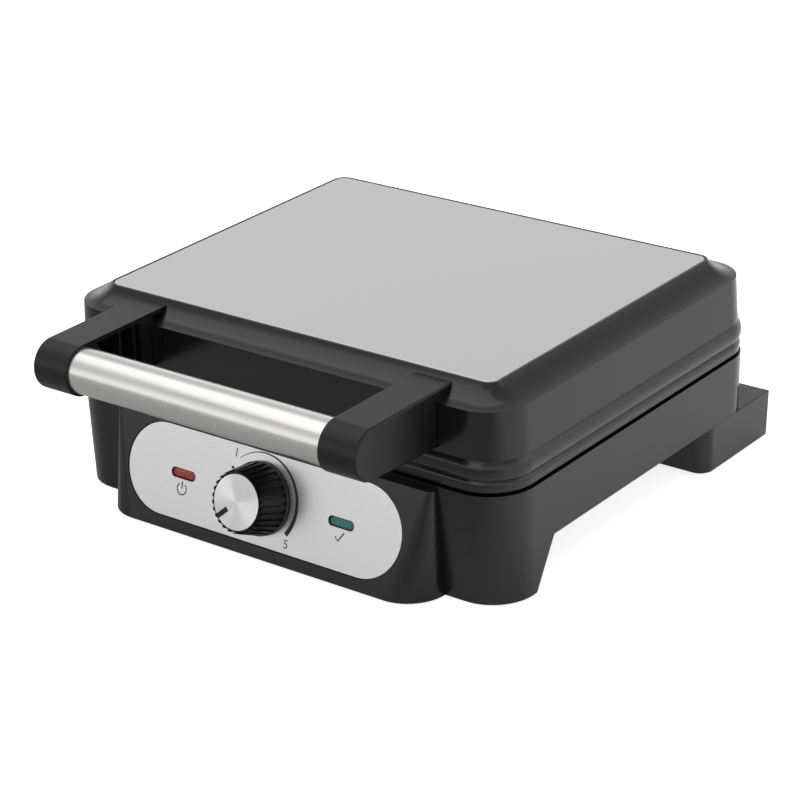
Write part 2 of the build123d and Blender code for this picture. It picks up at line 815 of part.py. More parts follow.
with BuildPart() as knob_body:
    with BuildSketch(knob_back):
        Circle(knob_foot_diameter / 2 - knob_rib_depth)
    with BuildSketch(knob_front):
        Circle(knob_face_diameter / 2 - knob_rib_depth)
    loft()
    add(knob_grips.part)
    # smooth flange at the foot
    with BuildSketch(knob_back):
        Circle(knob_foot_diameter / 2)
    extrude(amount=knob_flange)
    # hollow skirt with a hub on the shaft
    with BuildSketch(knob_back):
        Circle(knob_foot_diameter / 2 - knob_rib_depth - knob_bore_wall - 1)
        Circle(knob_hub_diameter / 2, mode=Mode.SUBTRACT)
    extrude(amount=knob_hollow, mode=Mode.SUBTRACT)
    with BuildSketch(knob_back):
        Circle(nut_width / 2 + 1.6)
    extrude(amount=nut_thickness + fascia_face + fit_gap, mode=Mode.SUBTRACT)
    with BuildSketch(knob_back):
        Circle(shaft_diameter / 2 + shaft_clearance)
    extrude(amount=knob_length - cap_thickness - knob_web + shaft_clearance, mode=Mode.SUBTRACT)
    # recess for the disc, with the raised pointer left standing in it
    with BuildSketch(knob_front):
        Circle(cap_diameter / 2 + pin_clearance)
        with PolarLocations(cap_diameter / 2 - pointer_length / 2, 1, start_angle=pointer_angle):
            Rectangle(pointer_length + 2, pointer_width, mode=Mode.SUBTRACT)
    extrude(amount=-cap_thickness, mode=Mode.SUBTRACT)
finish(knob_body, "knob_body")

with BuildPart() as knob_cap:
    with BuildSketch(knob_front.offset(-cap_thickness)):
        Circle(cap_diameter / 2)
        with PolarLocations(cap_diameter / 2 - pointer_length / 2, 1, start_angle=pointer_angle):
            Rectangle(pointer_length + 2 + fit_gap, pointer_width + fit_gap, mode=Mode.SUBTRACT)
    extrude(amount=cap_thickness)
finish(knob_cap, "knob_cap")


def arm_section():
    """Side view of a handle arm: round at the tube, deeper at the root, cut to the lid's front."""
    tube_y = handle_y - front_y
    root = arm_root_depth
    with BuildLine() as rim:
        CenterArc((tube_y, handle_z), arm_end_radius, 0, 360)
        Polyline((root, handle_z + arm_end_radius), (root, frame_top + arm_root_rise))
    make_hull(rim.edges())


def lid_section():
    """Side view of the lid's front, from the lip down to the frame, as deep as an arm's root."""
    with BuildLine() as rim:
        cover_face()
        Polyline(
            (cover_foot_inset, frame_top),
            (cover_foot_inset, frame_top - wall),
            (2 * arm_root_depth, frame_top - wall),
            (2 * arm_root_depth, lid_top),
            (lip_edge, lid_top),
        )
    make_face(rim.edges(), mode=Mode.SUBTRACT)


# Handle arms: moulded, hollow from the inner side, with ribs and a spigot for the tube
tube_y = handle_y - front_y
screw_z = frame_top + arm_screw_rise
for side, name in ((-1, "handle_arm_left"), (1, "handle_arm_right")):
    with BuildPart() as arm:
        with BuildSketch(front_section.offset(side * arm_inner)):
            arm_section()
            lid_section()
        extrude(amount=side * arm_width)
        fillet(arm.faces().sort_by(Axis.X)[-1 if side > 0 else 0].edges().filter_by(GeomType.LINE), arm_edge)
        with BuildSketch(front_section.offset(side * arm_inner)):
            arm_section()
            offset(amount=-arm_wall)
            lid_section()
            with Locations((tube_y, handle_z)):
                Circle(arm_end_radius + arm_rib, mode=Mode.SUBTRACT)
            # solid root for the screw
            with Locations((0, screw_z)):
                Rectangle(2 * arm_root_wall, body_depth, mode=Mode.SUBTRACT)
            for rib_y in (tube_y * 0.42, tube_y * 0.2):
                with Locations((rib_y, handle_z)):
                    Rectangle(arm_rib, body_depth, mode=Mode.SUBTRACT)
        extrude(amount=side * (arm_width - arm_wall), mode=Mode.SUBTRACT)
        # the small square catch between the ribs
        with BuildSketch(front_section.offset(side * (arm_inner + arm_width - arm_wall))):
            with Locations((tube_y * 0.31, handle_z + 2)):
                Rectangle(catch_size, catch_size)
                Rectangle(catch_size - arm_rib, catch_size - arm_rib, mode=Mode.SUBTRACT)
        extrude(amount=-side * catch_size / 2)
        with BuildSketch(front_section.offset(side * arm_inner)):
            with Locations((tube_y, handle_z)):
                Circle(tube_diameter / 2 - tube_wall - pin_clearance)
        extrude(amount=-side * spigot_length)
        with BuildSketch(front_section.offset(side * (arm_inner - spigot_length))):
            with Locations((tube_y, handle_z)):
                Circle(tie_rod_diameter / 2 + pin_clearance)
        extrude(amount=side * (spigot_length + arm_width), mode=Mode.SUBTRACT)
        with BuildSketch(front_section.offset(side * arm_outer)):
            with Locations((tube_y, handle_z)):
                Circle(handle_cap_diameter / 2 + pin_clearance)
        extrude(amount=-side * (handle_cap_thickness + tie_rod_head), mode=Mode.SUBTRACT)
        hole_x = side * (arm_inner + arm_width / 2)
        screw_plane = Plane((hole_x, front_y + arm_root_wall, screw_z), z_dir=(0, 1, 0))
        with Locations(screw_plane):
            Hole(arm_screw_diameter / 2 + pin_clearance, depth=arm_root_wall + arm_screw_bite)
    finish(arm, name)

# Handle tube, the tie rod inside it and the caps over the rod's heads
with BuildPart() as handle_tube:
    with BuildSketch(front_section.offset(-arm_inner)):
        with Locations((tube_y, handle_z)):
            Circle(tube_diameter / 2)
            Circle(tube_diameter / 2 - tube_wall, mode=Mode.SUBTRACT)
    extrude(amount=2 * arm_inner)
finish(handle_tube, "handle_tube")

rod_end = arm_outer - handle_cap_thickness
with BuildPart() as handle_tie_rod:
    with BuildSketch(front_section.offset(-rod_end)):
        with Locations((tube_y, handle_z)):
            Circle(tie_rod_diameter / 2)
    extrude(amount=2 * rod_end)
    for side in (-1, 1):
        with BuildSketch(front_section.offset(side * rod_end)):
            with Locations((tube_y, handle_z)):
                Circle(tie_rod_head_diameter / 2)
        extrude(amount=-side * tie_rod_head)
finish(handle_tie_rod, "handle_tie_rod")

with BuildPart() as handle_caps:
    for side in (-1, 1):
        with BuildSketch(front_section.offset(side * (rod_end + cap_dish))):
            with Locations((tube_y, handle_z)):
                Circle(handle_cap_diameter / 2)
        extrude(amount=side * (handle_cap_thickness - 2 * cap_dish))
finish(handle_caps, "handle_caps")

# Screws that hold the arms from inside the lid
wall_lean = (cover_inset - cover_foot_inset) / (cove_bottom - frame_top)
head_top = screw_z + screw_head_diameter / 2
screw_seat = front_y + cover_foot_inset + wall_lean * (head_top - frame_top) + wall + fit_gap / 2
with BuildPart() as handle_screws:
    for side in (-1, 1):
        screw_x = side * (arm_inner + arm_width / 2)
        with BuildSketch(Plane((screw_x, screw_seat, screw_z), z_dir=(0, -1, 0))):
            Circle(arm_screw_diameter / 2)
        extrude(amount=screw_seat - front_y + arm_screw_bite)
        with BuildSketch(Plane((screw_x, screw_seat, screw_z), z_dir=(0, 1, 0))):
            Circle(screw_head_diameter / 2)
        extrude(amount=screw_head)
finish(handle_screws, "handle_screws")


def screws(positions, seat_z, up, bite, name):
    """Pan head screws whose heads bear on seat_z and whose shanks reach bite past it."""
    with BuildPart() as group:
        with BuildSketch(Plane.XY.offset(seat_z)):
            positions(screw_diameter)
        extrude(amount=up * bite)
        with BuildSketch(Plane.XY.offset(seat_z)):
            positions(screw_head_diameter)
        extrude(amount=-up * screw_head)
    finish(group, name)


thread = ledge_thickness + plate_screw_bite - fit_gap
screws(plate_screws, lower_seat - ledge_thickness, 1, thread, "lower_plate_screws")
screws(plate_screws, upper_seat + ledge_thickness, -1, thread, "upper_plate_screws")
screws(reflector_bosses, lower_rim - tray_back, 1, screw_length, "lower_reflector_screws")
screws(reflector_bosses, upper_rim + tray_back, -1, screw_length, "upper_reflector_screws")
screws(cover_screws, foot_height, 1, screw_length, "bottom_cover_screws")
screws(foot_screws, cover_top, -1, screw_length, "foot_screws")

# Bottom cover of the pan, with rows of vents
with BuildPart() as bottom_cover:
    with BuildSketch(Plane.XY.offset(foot_height)):
        body_outline(wall + pan_lean + cover_gap)
        with Locations((0, arch_y - wall / 2)):
            Rectangle(body_width, body_depth, align=(Align.CENTER, Align.MAX), mode=Mode.SUBTRACT)
        cover_screws(screw_diameter + 2 * pin_clearance, Mode.SUBTRACT)
        foot_screws(screw_diameter + 2 * pin_clearance, Mode.SUBTRACT)
        for row_y in (-vent_row, vent_row):
            with Locations((0, middle_y + vent_shift + row_y)):
                with GridLocations(vent_pitch, 1, vent_count, 1):
                    Rectangle(vent_width, vent_length, mode=Mode.SUBTRACT)
    extrude(amount=cover_sheet)
finish(bottom_cover, "bottom_cover")

# Rubber pads under the feet
with BuildPart() as rubber_feet:
    with BuildSketch(Plane.XY):
        for pad_y in (foot_back - foot_width / 2, floor_y - pad_diameter / 2 - wall):
            with Locations((-foot_x, pad_y), (foot_x, pad_y)):
                Circle(pad_diameter / 2 - pin_clearance)
    extrude(amount=pad_height + pad_seat)
finish(rubber_feet, "rubber_feet")

# Hinge pins, headed at their outer ends
pin_reach = knuckle_width / 2 + knuckle_gap + ear_width
with BuildPart() as hinge_pins:
    for side in (-1, 1):
        with BuildSketch(side_plane.offset(side * (knuckle_x - pin_reach))):
            with Locations((hinge_y, hinge_z)):
                Circle(pin_diameter / 2)
        extrude(amount=side * 2 * pin_reach)
        with BuildSketch(side_plane.offset(side * (knuckle_x + pin_reach))):
            with Locations((hinge_y, hinge_z)):
                Circle(pin_head_diameter / 2)
        extrude(amount=side * pin_head)
finish(hinge_pins, "hinge_pins")

# Grommet in the back wall for the supply lead
lean = tan(radians(base_draft))
gland_face = back_y - (base_height - gland_height - gland_flange / 2) * lean + fit_gap / 3
gland_inner = gland_face - wall - gland_flange * lean - fit_gap
with BuildPart() as cord_grommet:
    gland_start = (gland_offset, gland_inner - gland_flange_thickness, gland_height)
    gland_plane = Plane(gland_start, x_dir=(1, 0, 0), z_dir=(0, 1, 0))
    gland_depth = gland_face - gland_inner
    with BuildSketch(gland_plane):
        Circle(gland_flange / 2)
    extrude(amount=gland_flange_thickness)
    with BuildSketch(gland_plane):
        Circle(gland_diameter / 2)
    extrude(amount=2 * gland_flange_thickness + gland_depth)
    with BuildSketch(gland_plane.offset(gland_flange_thickness + gland_depth)):
        Circle(gland_flange / 2)
    extrude(amount=gland_flange_thickness)
    with BuildSketch(gland_plane):
        Circle(gland_bore / 2)
    extrude(amount=2 * gland_flange_thickness + gland_depth, mode=Mode.SUBTRACT)
finish(cord_grommet, "cord_grommet")

# Terminal block on the floor of the front skirt
with BuildPart() as terminal_block:
    block_plane = Plane((block_offset, floor_y - wall - fit_gap - block_depth / 2, pad_height + wall))
    with BuildSketch(block_plane):
        Rectangle(block_pitch * block_poles, block_depth)
    extrude(amount=block_height)
    with BuildSketch(block_plane.offset(block_height)):
        with GridLocations(block_pitch, block_depth / 2, block_poles, 2):
            Circle(block_pitch * 0.3)
    extrude(amount=-block_height / 2, mode=Mode.SUBTRACT)
finish(terminal_block, "terminal_block")

# Thermal fuse clamped against the back of the lower plate
fuse_z = lower_rim - plate_back_drop - fuse_diameter / 2
with BuildPart() as thermal_fuse:
    with BuildSketch(side_plane.offset(-fuse_length / 2)):
        with Locations((middle_y, fuse_z)):
            Circle(fuse_diameter / 2)
    extrude(amount=fuse_length)
    with BuildSketch(side_plane.offset(-fuse_length / 2 - fuse_lead_length)):
        with Locations((middle_y, fuse_z)):
            Circle(fuse_lead_diameter / 2)
    extrude(amount=fuse_length + 2 * fuse_lead_length)
finish(thermal_fuse, "thermal_fuse")
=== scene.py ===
"""Finishes, printed marks, lights and camera for a belgian waffle maker. Metres, +Z up."""

import json
from math import cos, pi, radians, sin

import bmesh
import bpy
import numpy as np
from mathutils import Matrix, Vector
from mathutils.geometry import convex_hull_2d


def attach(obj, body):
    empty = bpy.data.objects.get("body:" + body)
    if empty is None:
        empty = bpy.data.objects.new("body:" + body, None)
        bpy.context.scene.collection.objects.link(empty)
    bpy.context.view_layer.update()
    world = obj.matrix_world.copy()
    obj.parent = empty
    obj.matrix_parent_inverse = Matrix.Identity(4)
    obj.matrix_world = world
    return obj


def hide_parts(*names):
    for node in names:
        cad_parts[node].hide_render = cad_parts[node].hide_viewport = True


bl_info = {
    "name": "Belgian waffle maker",
    "version": (1, 0, 0),
    "blender": (4, 5, 0),
    "location": "3D View > Sidebar > Waffle maker",
    "description": "Dresses the waffle maker's parts and sets up its studio",
    "category": "Object",
}

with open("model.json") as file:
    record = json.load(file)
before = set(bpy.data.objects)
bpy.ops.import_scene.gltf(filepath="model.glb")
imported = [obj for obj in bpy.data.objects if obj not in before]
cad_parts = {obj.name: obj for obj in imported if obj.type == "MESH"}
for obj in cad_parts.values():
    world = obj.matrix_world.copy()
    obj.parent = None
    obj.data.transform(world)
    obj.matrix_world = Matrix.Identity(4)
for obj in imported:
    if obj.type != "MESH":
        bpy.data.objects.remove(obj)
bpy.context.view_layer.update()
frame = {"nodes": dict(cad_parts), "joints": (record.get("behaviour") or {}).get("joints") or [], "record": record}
NODE_BODY = {node: body for body, nodes in frame["record"]["behaviour"]["bodies"].items() for node in nodes}
NODE_SLOT = {part["node"]: part["material_slot"] for part in frame["record"]["subparts"]}
KNOB_JOINT = next(joint for joint in frame["joints"] if joint["name"] == "knob_turn")

# Each moulding's rounding of its edges
HOUSINGS = {
    "lid_cover": 0.0004,
    "lid_frame": 0.0003,
    "base_shell": 0.0003,
    "hinge_ears": 0.0003,
    "hinge_knuckles": 0.0003,
    "control_housing": 0.0006,
    "rear_foot_left": 0.0006,
    "rear_foot_right": 0.0006,
}


class StageSettings(bpy.types.PropertyGroup):
    """Camera, floor and lights."""

    camera_azimuth: bpy.props.FloatProperty(
        name="Azimuth", description="Camera angle round the object from its front",
        default=radians(38.206), unit="ROTATION",
    )
    camera_elevation: bpy.props.FloatProperty(
        name="Elevation", description="Camera angle above the horizon", default=radians(23.877),
        unit="ROTATION",
    )
    camera_roll: bpy.props.FloatProperty(
        name="Roll", description="Turn of the picture about the line of sight", default=radians(2.275),
        unit="ROTATION",
    )
    camera_distance: bpy.props.FloatProperty(
        name="Distance", description="Camera to the point it looks at", default=1.3207, unit="LENGTH"
    )
    camera_lens: bpy.props.FloatProperty(
        name="Lens", description="Focal length", default=121.75, unit="CAMERA",
    )
    camera_target: bpy.props.FloatVectorProperty(
        name="Target", description="Point that the camera looks at",
        default=(0.00154, 0.00805, 0.03904), subtype="TRANSLATION",
    )
    floor_size: bpy.props.FloatProperty(
        name="Floor", description="Side of the floor", default=12.0, unit="LENGTH",
    )
    floor_colour: bpy.props.FloatVectorProperty(
        name="Floor colour", description="Colour of the floor", default=(0.88, 0.88, 0.88),
        subtype="COLOR", min=0, max=1,
    )
    floor_glow: bpy.props.FloatProperty(
        name="Glow", description="Light added to the floor where it is seen", default=0.8,
    )
    mirrored_glow: bpy.props.FloatProperty(
        name="Mirrored glow", description="Light added to the floor in reflections", default=0.4
    )
    front_reflection: bpy.props.FloatProperty(
        name="Front reflection", description="Share of the floor in front that reflections show",
        default=0.35, min=0, max=1,
    )
    world_level: bpy.props.FloatProperty(
        name="World", description="Diffuse light of the surroundings", default=0.6, min=0,
    )
    horizon_reflection: bpy.props.FloatProperty(
        name="Horizon reflection", description="Light of the surroundings at eye level in reflections",
        default=1.25, min=0,
    )
    sky_reflection: bpy.props.FloatProperty(
        name="Sky reflection", description="Light of the surroundings overhead in reflections",
        default=0.6, min=0,
    )
    key_power: bpy.props.FloatProperty(
        name="Key", description="Power of the large lamp overhead", default=10.0, unit="POWER",
    )
    fill_power: bpy.props.FloatProperty(
        name="Fill", description="Power of the lamp at the right", default=3.0, unit="POWER",
    )
    front_power: bpy.props.FloatProperty(
        name="Front", description="Power of the lamp at the front", default=2.0, unit="POWER",
    )


class FinishSettings(bpy.types.PropertyGroup):
    """Colours of the finishes."""

    gloss_black: bpy.props.FloatVectorProperty(
        name="Gloss black", description="Moulded housings", default=(0.0055, 0.0055, 0.006),
        subtype="COLOR", min=0, max=1,
    )
    satin_black: bpy.props.FloatVectorProperty(
        name="Satin black", description="Handle arms and knob", default=(0.007, 0.007, 0.0075),
        subtype="COLOR", min=0, max=1,
    )
    sheet_steel: bpy.props.FloatVectorProperty(
        name="Sheet steel", description="Steel in the lid", default=(0.64, 0.64, 0.64),
        subtype="COLOR", min=0, max=1,
    )
    fascia_steel: bpy.props.FloatVectorProperty(
        name="Fascia steel", description="Control panel", default=(0.78, 0.78, 0.78), subtype="COLOR",
        min=0, max=1,
    )
    tube_steel: bpy.props.FloatVectorProperty(
        name="Tube steel", description="Handle tube", default=(0.72, 0.715, 0.705), subtype="COLOR",
        min=0, max=1,
    )
    cast_plate: bpy.props.FloatVectorProperty(
        name="Coated plate", description="Cooking plates", default=(0.022, 0.022, 0.023),
        subtype="COLOR", min=0, max=1,
    )
    red_lens: bpy.props.FloatVectorProperty(
        name="Red lens", description="Power indicator", default=(0.42, 0.025, 0.018), subtype="COLOR",
        min=0, max=1,
    )
    green_lens: bpy.props.FloatVectorProperty(
        name="Green lens", description="Ready indicator", default=(0.012, 0.2, 0.165), subtype="COLOR",
        min=0, max=1,
    )


class MarkSettings(bpy.types.PropertyGroup):
    """Printed marks on the control panel."""

    arc_radius: bpy.props.FloatProperty(
        name="Arc radius", description="Radius of the heat scale", default=0.0215, unit="LENGTH",
    )
    arc_start: bpy.props.FloatProperty(
        name="Arc start", description="Where the scale begins", default=radians(133), unit="ROTATION"
    )
    arc_end: bpy.props.FloatProperty(
        name="Arc end", description="Where the scale ends", default=radians(-38), unit="ROTATION",
    )
    arc_thin: bpy.props.FloatProperty(
        name="Thin end", description="Width at the low end", default=0.0003, unit="LENGTH",
    )
    arc_thick: bpy.props.FloatProperty(
        name="Thick end", description="Width at the high end", default=0.0023, unit="LENGTH",
    )
    dot_radius: bpy.props.FloatProperty(
        name="Dot", description="Radius of the off mark", default=0.0008, unit="LENGTH",
    )
    numeral_size: bpy.props.FloatProperty(
        name="Numerals", description="Height of the numerals", default=0.0060, unit="LENGTH",
    )
    symbol_size: bpy.props.FloatProperty(
        name="Symbols", description="Size of the lamps' symbols", default=0.0056, unit="LENGTH",
    )
    ink_height: bpy.props.FloatProperty(
        name="Ink", description="Thickness of the print", default=0.00004, unit="LENGTH",
    )


MULTIPLY = {"data_type": "RGBA", "blend_type": "MULTIPLY"}
MERGE = 2e-6  # points of a node's mesh that are nearer than this become one
FLAT = radians(0.05)  # faces that turn less than this are joined
SHARP = radians(32.0)  # edges that turn more than this are edges and not curves
LAMP_PLACE = 0.0475  # each indicator lens, to the side of the knob's axis


class Value:
    """A shader socket that can be used in arithmetic; each operation adds one Math node."""

    def __init__(self, graph, socket):
        self.graph = graph
        self.socket = socket

    def _math(self, operation, first, second=None):
        inputs = {0: first} if second is None else {0: first, 1: second}
        return self.graph.node("ShaderNodeMath", {"operation": operation}, inputs)[0]

    def __add__(self, other):
        return self._math("ADD", self, other)

    __radd__ = __add__

    def __sub__(self, other):
        return self._math("SUBTRACT", self, other)

    def __rsub__(self, other):
        return self._math("SUBTRACT", other, self)

    def __mul__(self, other):
        return self._math("MULTIPLY", self, other)

    __rmul__ = __mul__

    def __truediv__(self, other):
        return self._math("DIVIDE", self, other)

    def __pow__(self, other):
        return self._math("POWER", self, other)

    def call(self, operation, other=None):
        """Any other Math operation, such as SINE or ABSOLUTE."""
        return self._math(operation, self, other)


class Sockets:
    """A node tree whose nodes are made one call at a time."""

    def __init__(self, tree):
        self.tree = tree

    def node(self, kind, settings=None, inputs=None):
        """Adds a node, applies its settings, then its sockets' values or links, and returns its outputs."""
        node = self.tree.nodes.new(kind)
        for name, value in (settings or {}).items():
            setattr(node, name, value)
        for name, value in (inputs or {}).items():
            if isinstance(value, Value):
                self.tree.links.new(value.socket, node.inputs[name])
            else:
                node.inputs[name].default_value = value
        return [Value(self, socket) for socket in node.outputs]


class Graph(Sockets):
    """One material's nodes, with its Principled shader at hand."""

    def __init__(self, name, **uniform):
        self.material = bpy.data.materials.new(name)
        self.material.use_nodes = True
        super().__init__(self.material.node_tree)
        self.shader = self.tree.nodes["Principled BSDF"]
        for socket, value in uniform.items():
            self.shader.inputs[socket.replace("_", " ").title().replace("Ior", "IOR")].default_value = value

    def feed(self, socket, value):
        """Links a value that varies over the surface to the shader."""
        self.tree.links.new(value.socket, self.shader.inputs[socket])

    def place(self, scale=(1, 1, 1)):
        """Object coordinates, stretched."""
        coordinates = self.node("ShaderNodeTexCoord")[3]
        return self.node(
            "ShaderNodeMapping",
            {"vector_type": "POINT"},
            {"Vector": coordinates, "Scale": scale},
        )[0]

    def noise(self, vector, scale, detail=3.0):
        """Smooth noise between 0 and 1."""
        inputs = {"Vector": vector, "Scale": scale, "Detail": detail}
        return self.node("ShaderNodeTexNoise", None, inputs)[0]

    def split(self, vector):
        """The three parts of a vector."""
        return self.node("ShaderNodeSeparateXYZ", None, {"Vector": vector})

    def blend(self, factor, low, high):
        """A colour between low and high."""
        return self.node(
            "ShaderNodeMix",
            {"data_type": "RGBA"},
            {"Factor": factor, 6: (*low, 1.0), 7: (*high, 1.0)},
        )[2]

    def bump(self, height, distance):
        """Links a height to the shader's normal."""
        inputs = {"Height": height, "Distance": distance, "Strength": 1.0}
        self.feed("Normal", self.node("ShaderNodeBump", None, inputs)[0])


def shade(colour, factor):
    """A colour scaled in brightness."""
    return tuple(min(1.0, part * factor) for part in colour)


def moulded(name, colour, roughness, grain, gloss=0.5):
    """Moulded plastic: soft cloudy gloss and a fine grain, like a polished or spark-eroded tool leaves."""
    graph = Graph(name, roughness=roughness, ior=1.5, specular_ior_level=gloss)
    clouds = graph.noise(graph.place(), 18.0, 2.0)
    dust = graph.noise(graph.place(), 900.0, 2.0)
    graph.feed("Base Color", graph.blend(clouds, shade(colour, 0.85), shade(colour, 1.25)))
    graph.feed("Roughness", clouds * 0.08 + dust * 0.05 + (roughness - 0.065))
    graph.bump(dust, grain)
    return graph.material


def brushed(name, colour, roughness, along, grain=0.000012, streak=0.16):
    """Brushed steel: noise drawn out along one axis gives scratches in colour, gloss and height."""
    graph = Graph(name, metallic=1.0, roughness=roughness)
    fine = [2600.0] * 3
    fine[along] = 14.0
    broad = [420.0] * 3
    broad[along] = 5.0
    scratches = graph.noise(graph.place(scale=fine), 1.0, 2.0)
    bands = graph.noise(graph.place(scale=broad), 1.0, 2.0)
    mixed = scratches * 0.65 + bands * 0.35
    graph.feed("Base Color", graph.blend(mixed, shade(colour, 1 - streak), shade(colour, 1 + streak)))
    graph.feed("Roughness", mixed * 0.16 + (roughness - 0.08))
    graph.bump(scratches, grain)
    return graph.material


def joint_frame():
    """The knob's axis out of the panel, the panel's right and its up, and the point on its axis."""
    out = -Vector(KNOB_JOINT["axis"]).normalized()
    right = Vector((1.0, 0.0, 0.0))
    up = out.cross(right)
    return right, up, out, Vector(KNOB_JOINT["pos_m"])


def spun_metal(name, colour):
    """Turned aluminium: fine rings in height, and wedges of painted highlight and painted shade in the colour
    about the knob's axis.
    """
    right, up, out, centre = joint_frame()
    graph = Graph(name, metallic=1.0, roughness=0.3)
    coordinates = graph.node("ShaderNodeTexCoord")[3]
    arm = graph.node("ShaderNodeVectorMath", {"operation": "SUBTRACT"}, {0: coordinates, 1: centre})[0]
    across = graph.node("ShaderNodeVectorMath", {"operation": "DOT_PRODUCT"}, {0: arm, 1: right})[1]
    upward = graph.node("ShaderNodeVectorMath", {"operation": "DOT_PRODUCT"}, {0: arm, 1: up})[1]
    angle = upward.call("ARCTAN2", across)
    radius = (across * across + upward * upward).call("SQRT")
    fine = {"W": radius * 9000.0, "Scale": 1.0, "Detail": 2.0}
    rings = graph.node("ShaderNodeTexNoise", {"noise_dimensions": "1D"}, fine)[0]
    # painted highlight and painted shade: bright and dark wedges in the colour round the axis, where the turned
    # finish's reflections fall
    wedges = ((angle * 2.0 + 0.9).call("COSINE") * 0.5 + 0.5) ** 3.0
    narrow = ((angle * 3.0 - 0.4).call("COSINE") * 0.5 + 0.5) ** 6.0
    painted_sheen = wedges * 0.7 + narrow * 0.3
    graph.feed("Base Color", graph.blend(painted_sheen, shade(colour, 0.72), shade(colour, 1.12)))
    graph.feed("Roughness", rings * 0.12 + 0.24)
    graph.bump(rings, 0.00001)
    return graph.material


def coated_cast(name, colour):
    """Non-stick coating on a casting: an even satin black with a fine pebble and paler specks."""
    graph = Graph(name, roughness=0.42, ior=1.5)
    pebble = graph.noise(graph.place(), 1400.0, 3.0)
    specks = graph.node("ShaderNodeTexVoronoi", None, {"Vector": graph.place(), "Scale": 1500.0})[0]
    pale = (1.0 - specks.call("SMOOTH_MIN", 1.0)) ** 18.0
    graph.feed("Base Color", graph.blend(pale, colour, shade(colour, 5.0)))
    graph.feed("Roughness", pebble * 0.2 + 0.34)
    graph.bump(pebble, 0.00004)
    return graph.material


def indicator(name, colour, half_length=0.0075):
    """Ribbed translucent lens: the colour carries painted highlights where the prisms across its length catch
    light, and painted shadow at its ends.
    """
    graph = Graph(name, roughness=0.14, ior=1.49, coat_weight=0.5, coat_roughness=0.05)
    along = graph.split(graph.place())[0]
    ribs = (along * 3900.0).call("SINE") * 0.5 + 0.5
    cells = graph.noise(graph.place(), 420.0, 2.0)
    centre = (along.call("ABSOLUTE") - LAMP_PLACE).call("ABSOLUTE")
    # painted shadow: the colour is darker towards each end of the lens
    middle = 1.0 - ((centre / half_length) ** 3.0).call("MINIMUM", 1.0)
    # painted highlights along the ribs, mixed with a random tone from the cells
    light = (ribs * 0.55 + cells * 0.45) * (middle * 0.75 + 0.25)
    body = graph.blend(light, shade(colour, 0.2), shade(colour, 1.6))
    graph.feed("Base Color", body)
    graph.feed("Roughness", cells * 0.15 + 0.08)
    graph.bump(ribs, 0.0001)
    return graph.material


def plated(name, colour, roughness):
    """Zinc plated or plain bright metal with cloudy patches."""
    graph = Graph(name, metallic=1.0, roughness=roughness)
    patches = graph.noise(graph.place(), 220.0, 3.0)
    graph.feed("Base Color", graph.blend(patches, shade(colour, 0.8), shade(colour, 1.15)))
    graph.feed("Roughness", patches * 0.2 + (roughness - 0.1))
    graph.bump(patches, 0.00002)
    return graph.material


def printed(name, colour):
    """Screen-printed ink: matt, with a slightly uneven edge of gloss."""
    graph = Graph(name, roughness=0.5)
    film = graph.noise(graph.place(), 1200.0, 2.0)
    graph.feed("Base Color", graph.blend(film, shade(colour, 0.8), shade(colour, 1.3)))
    graph.feed("Roughness", film * 0.2 + 0.4)
    graph.bump(film, 0.00001)
    return graph.material


def linked(name, mesh):
    """A new object for a mesh, in the scene's collection."""
    piece = bpy.data.objects.new(name, mesh)
    bpy.context.scene.collection.objects.link(piece)
    return piece


def surface(name, points):
    """A closed mesh from a grid of points, points[u, v]: each row goes round, neighbouring rows are
    joined by four-sided faces, and the first and last row are filled."""
    rows, columns = points.shape[:2]
    index = np.arange(rows * columns).reshape(rows, columns)
    ends = [index[0][::-1].tolist(), index[-1].tolist()]
    index = np.concatenate([index, index[:, :1]], axis=1)
    quads = np.stack([index[:-1, :-1], index[1:, :-1], index[1:, 1:], index[:-1, 1:]], axis=-1)
    faces = quads.reshape(-1, 4).tolist() + ends
    mesh = bpy.data.meshes.new(name)
    mesh.from_pydata(points.reshape(-1, 3).tolist(), [], faces)
    mesh.validate()
    outward(mesh)
    return mesh


def outward(mesh):
    """Turns a closed mesh's faces outwards."""
    work = bmesh.new()
    work.from_mesh(mesh)
    bmesh.ops.recalc_face_normals(work, faces=work.faces)
    work.to_mesh(mesh)
    work.free()


def settle(piece, body, material):
    """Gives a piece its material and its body."""
    piece.data.materials.clear()
    piece.data.materials.append(material)
    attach(piece, body)


def assign(nodes, material):
    """Gives CAD nodes a material."""
    for name in nodes:
        node = frame["nodes"][name]
        node.data.materials.clear()
        node.data.materials.append(material)


def dress(node, material, edge, segments=2):
    """Stands a merged copy with softened edges for a node: edges sharper than SHARP are rounded by edge."""
    work = bmesh.new()
    work.from_mesh(frame["nodes"][node].data)
    bmesh.ops.remove_doubles(work, verts=work.verts, dist=MERGE)
    bmesh.ops.dissolve_limit(work, angle_limit=FLAT, verts=work.verts, edges=work.edges)
    for face in work.faces:
        face.smooth = True
    mesh = bpy.data.meshes.new(node + "_finish")
    work.to_mesh(mesh)
    work.free()
    mesh.set_sharp_from_angle(angle=SHARP)
    piece = linked(node + "_finish", mesh)
    if edge:
        bevel = piece.modifiers.new("Edges", "BEVEL")
        bevel.width = edge
        bevel.segments = segments
        bevel.limit_method = "ANGLE"
        bevel.angle_limit = SHARP
        bevel.use_clamp_overlap = True
    flat = piece.modifiers.new("Flats", "WEIGHTED_NORMAL")
    flat.keep_sharp = True
    flat.weight = 90
    settle(piece, NODE_BODY[node], material)
    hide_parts(node)
    return piece


def vertices(node):
    """The points of a CAD node's mesh, one per row."""
    mesh = frame["nodes"][node].data
    points = np.empty(len(mesh.vertices) * 3)
    mesh.vertices.foreach_get("co", points)
    return points.reshape(-1, 3)


